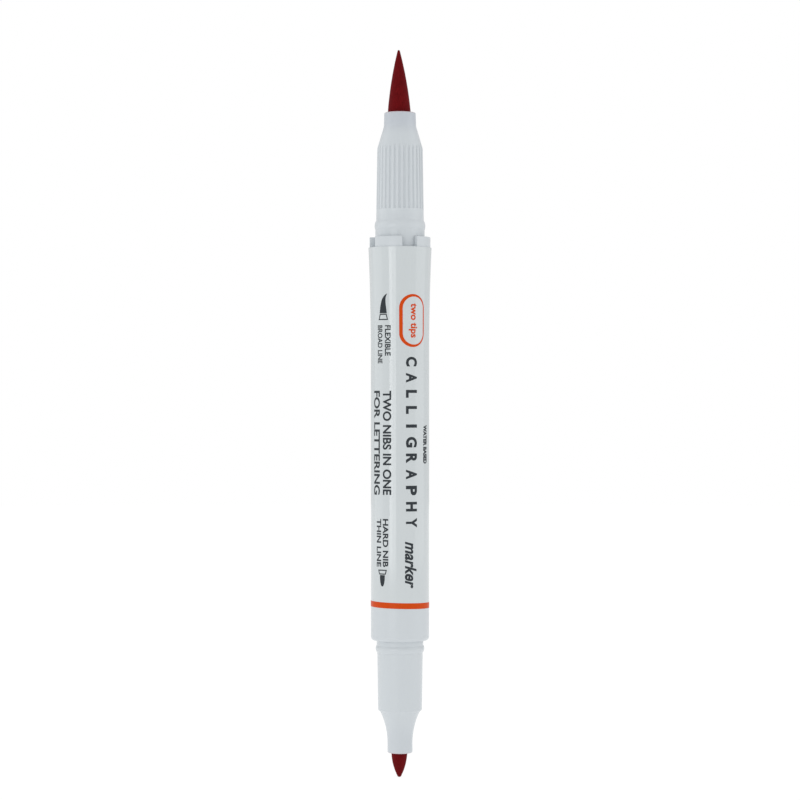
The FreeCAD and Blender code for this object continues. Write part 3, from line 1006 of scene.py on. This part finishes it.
class MARKER_OT_fine_holder(bpy.types.Operator):
    """Models the fine nib's holder with its plug, snap bead, ledge, hollow shoulder and slim tube"""

    bl_idname = "marker.fine_holder"
    bl_label = "Fine nib holder"

    def execute(self, context):
        sizes = context.scene.marker_holders
        mouth = FINE_HOLDER_LOW.z
        nib_bore = FINE_NIB_HIGH.x + sizes.fine_gap
        bm = turned(outline(
            (sizes.hollow, FINE_HOLDER_HIGH.z),
            (sizes.hollow, sizes.fine_stop),
            (nib_bore, sizes.fine_stop),
            (nib_bore, mouth),
            (sizes.tube, mouth),
            (sizes.tube, sizes.tube_high, (arc_between, sizes.shoulder_curve, "right", 14)),
            (sizes.shoulder, sizes.shoulder_high),
            (sizes.ledge, sizes.ledge_height),
            (sizes.fine_body, sizes.fine_bead_low, (arc_between, sizes.fine_bead_curve, "left", 6)),
            (sizes.fine_bead, sizes.fine_bead_middle, (arc_between, sizes.fine_bead_curve, "left", 6)),
            (sizes.fine_neck, sizes.fine_bead_high),
            (sizes.fine_neck, FINE_HOLDER_HIGH.z),
        ))
        round_ring(bm, sizes.tube, mouth, sizes.rounding, 4)
        round_ring(bm, nib_bore, mouth, sizes.rounding / 2, 3)
        round_ring(bm, sizes.ledge, sizes.ledge_height, sizes.rounding / 2, 3)
        round_ring(bm, sizes.fine_neck, FINE_HOLDER_HIGH.z, sizes.rounding, 2)
        holder = new_piece(
            bm, "fine_holder", moulded_polypropylene(context.scene.marker_colours)
        )
        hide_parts("fine_section")
        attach(holder, "marker")
        return {"FINISHED"}


# ------------------------------------------------------------------ nibs and reservoir

def ruffle_felt(bm, sizes, visible):
    """Moves a nib's surface in and out a little, as pressed felt is never quite even."""
    lump = 0.55 * MM
    stretch = 0.35
    for vert in bm.verts:
        radius = radius_of(vert.co)
        if radius < MERGE_DISTANCE or not visible(vert.co.z):
            continue
        place = Vector((vert.co.x, vert.co.y, vert.co.z * stretch)) / lump
        push = noise.noise(place) * sizes.fibre_relief * min(1.0, radius / MM)
        vert.co.x *= 1 + push / radius
        vert.co.y *= 1 + push / radius


def lean_over(bm, foot, tip, lean):
    """Leans a nib to the left from its foot, as it sits a little off straight in its holder."""
    for vert in bm.verts:
        vert.co.x -= lean * max(0.0, (vert.co.z - foot) / (tip - foot))


class MARKER_OT_brush_nib(bpy.types.Operator):
    """Models the felt brush, which leans a little to the left between the holder and its point"""

    bl_idname = "marker.brush_nib"
    bl_label = "Brush nib"

    def execute(self, context):
        sizes = context.scene.marker_nibs
        mouth = BRUSH_HOLDER_HIGH.z
        tip = BRUSH_NIB_HIGH.z
        bm = turned(outline(
            (0, BRUSH_NIB_LOW.z),
            (sizes.brush_tail, BRUSH_NIB_LOW.z),
            (sizes.brush_tail, sizes.brush_shank_low),
            (BRUSH_NIB_HIGH.x, sizes.brush_shank_low),
            (BRUSH_NIB_HIGH.x, mouth, (arc_between, sizes.brush_curve, "left", 44)),
            (sizes.brush_point, tip - sizes.brush_point_rise, (dome_between, 6)),
            (0, tip),
        ), closed=False, steps=96)
        ruffle_felt(bm, sizes, lambda height: height > mouth)
        lean_over(bm, sizes.brush_shank_low, tip, sizes.brush_lean)
        nib = new_piece(
            bm, "brush_felt", bonded_felt(context.scene.marker_colours, sizes), weighted=False
        )
        keep_rest_place(nib)
        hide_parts("brush_nib")
        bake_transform(nib)
        return {"FINISHED"}


class MARKER_OT_fine_nib(bpy.types.Operator):
    """Models the firm bullet nib and its rod"""

    bl_idname = "marker.fine_nib"
    bl_label = "Fine nib"

    def execute(self, context):
        sizes = context.scene.marker_nibs
        mouth = FINE_HOLDER_LOW.z
        tip = FINE_NIB_LOW.z
        bm = turned(outline(
            (0, tip, (dome_between, 6)),
            (sizes.fine_point, tip + sizes.fine_point_rise, (arc_between, sizes.fine_curve, "left", 20)),
            (FINE_NIB_HIGH.x, mouth),
            (FINE_NIB_HIGH.x, FINE_NIB_HIGH.z),
            (0, FINE_NIB_HIGH.z),
        ), closed=False, steps=96)
        ruffle_felt(bm, sizes, lambda height: height < mouth - 0.1 * MM)
        lean_over(bm, FINE_NIB_HIGH.z, tip, sizes.fine_lean)
        nib = new_piece(
            bm, "bullet_felt", bonded_felt(context.scene.marker_colours, sizes), weighted=False
        )
        keep_rest_place(nib)
        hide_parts("fine_nib")
        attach(nib, "marker")
        return {"FINISHED"}


class MARKER_OT_reservoir(bpy.types.Operator):
    """Gives the ink reservoir and its jacket their materials"""

    bl_idname = "marker.reservoir"
    bl_label = "Ink reservoir"

    def execute(self, context):
        colours = context.scene.marker_colours
        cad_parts["ink_reservoir"].material_slots[0].material = bundled_fibre(colours)
        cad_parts["reservoir_wrap"].material_slots[0].material = clear_jacket(colours)
        return {"FINISHED"}


# ------------------------------------------------------------------ stage

FLOOR_RADIUS = 1.2
FILL_STRENGTH = 0.74
CAMERA_PLACE = (0, -0.4625, 0.008)
CAMERA_LENS = 112.5
SENSOR_WIDTH = 36.0
WHITE = (1, 1, 1, 1)

# Softboxes: place and the point that it faces, width and height in metres, and power in watts.
SOFTBOXES = (
    ("bright_strip", (-0.315, -0.451, 0.02), (0, 0, 0.02), 0.13, 0.18, 0.22),
    ("faint_strip", (-0.2, -0.512, 0.02), (0, 0, 0.02), 0.11, 0.18, 0.13),
    ("left_softbox", (-0.6, 0.05, 0.03), (0, 0, 0.01), 0.5, 0.8, 0.64),
    ("right_softbox", (0.6, -0.05, 0.03), (0, 0, 0.01), 0.5, 0.8, 0.88),
    ("top_softbox", (0, -0.1, 0.8), (0, 0, 0), 0.8, 0.8, 0.7),
)


def add_softbox(name, place, aim, width, height, power):
    """Rectangular softbox that faces a point."""
    light = bpy.data.lights.new(name, "AREA")
    light.shape = "RECTANGLE"
    light.size = width
    light.size_y = height
    light.energy = power
    box = bpy.data.objects.new(name, light)
    box.location = place
    box.rotation_euler = (Vector(aim) - Vector(place)).to_track_quat("-Z", "Y").to_euler()
    bpy.context.scene.collection.objects.link(box)


class MARKER_OT_stage(bpy.types.Operator):
    """Sets up the pale floor, the soft studio light and the camera"""

    bl_idname = "marker.stage"
    bl_label = "Stage"

    def execute(self, context):
        scene = context.scene
        colours = scene.marker_colours
        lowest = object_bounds()[0].z

        floor_bm = bmesh.new()
        bmesh.ops.create_circle(floor_bm, cap_ends=True, segments=96, radius=FLOOR_RADIUS)
        bmesh.ops.translate(floor_bm, verts=floor_bm.verts, vec=(0, 0, lowest))
        floor_mesh = bpy.data.meshes.new("paper_floor")
        floor_bm.to_mesh(floor_mesh)
        floor_bm.free()
        floor_mesh.materials.append(pale_paper(colours))
        floor = bpy.data.objects.new("paper_floor", floor_mesh)
        scene.collection.objects.link(floor)
        floor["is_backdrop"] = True

        world = bpy.data.worlds.new("white_studio")
        world.use_nodes = True
        tree = world.node_tree
        tree.nodes.clear()
        seen = add_node(tree, "ShaderNodeBackground", {"Color": WHITE, "Strength": 1.0})
        fill = add_node(tree, "ShaderNodeBackground", {"Color": WHITE, "Strength": FILL_STRENGTH})
        path = add_node(tree, "ShaderNodeLightPath")
        mixed = add_node(tree, "ShaderNodeMixShader", links={
            0: path.outputs["Is Camera Ray"], 1: fill.outputs[0], 2: seen.outputs[0],
        })
        add_node(tree, "ShaderNodeOutputWorld", links={"Surface": mixed.outputs[0]})
        scene.world = world

        for softbox in SOFTBOXES:
            add_softbox(*softbox)

        lens = bpy.data.cameras.new("camera")
        lens.lens = CAMERA_LENS
        lens.sensor_width = SENSOR_WIDTH
        camera = bpy.data.objects.new("camera", lens)
        camera.location = CAMERA_PLACE
        camera.rotation_euler = (math.pi / 2, 0, 0)
        scene.collection.objects.link(camera)
        scene.camera = camera
        scene.view_settings.view_transform = "Standard"
        return {"FINISHED"}


class MARKER_PT_sidebar(bpy.types.Panel):
    """Sidebar panel that lists the steps that make the marker"""

    bl_idname = "MARKER_PT_sidebar"
    bl_label = "Calligraphy Marker"
    bl_space_type = "VIEW_3D"
    bl_region_type = "UI"
    bl_category = "Marker"

    def draw(self, context):
        for operator in OPERATORS:
            self.layout.operator(operator.bl_idname)


PROPERTY_GROUPS = (MarkerBarrelSizes, MarkerHolderSizes, MarkerNibSizes, MarkerColours)
OPERATORS = (
    MARKER_OT_barrel,
    MARKER_OT_film,
    MARKER_OT_print,
    MARKER_OT_brush_holder,
    MARKER_OT_fine_holder,
    MARKER_OT_brush_nib,
    MARKER_OT_fine_nib,
    MARKER_OT_reservoir,
    MARKER_OT_stage,
)
CLASSES = (*PROPERTY_GROUPS, *OPERATORS, MARKER_PT_sidebar)


def register():
    for cls in CLASSES:
        bpy.utils.register_class(cls)
    bpy.types.Scene.marker_barrel = PointerProperty(type=MarkerBarrelSizes)
    bpy.types.Scene.marker_holders = PointerProperty(type=MarkerHolderSizes)
    bpy.types.Scene.marker_nibs = PointerProperty(type=MarkerNibSizes)
    bpy.types.Scene.marker_colours = PointerProperty(type=MarkerColours)


def unregister():
    del bpy.types.Scene.marker_colours
    del bpy.types.Scene.marker_nibs
    del bpy.types.Scene.marker_holders
    del bpy.types.Scene.marker_barrel
    for cls in reversed(CLASSES):
        bpy.utils.unregister_class(cls)


def main():
    register()
    bpy.ops.marker.barrel()
    bpy.ops.marker.film()
    bpy.ops.marker.print()
    bpy.ops.marker.brush_holder()
    bpy.ops.marker.fine_holder()
    bpy.ops.marker.brush_nib()
    bpy.ops.marker.fine_nib()
    bpy.ops.marker.reservoir()
    bpy.ops.marker.stage()


if __name__ == "__main__":
    main()
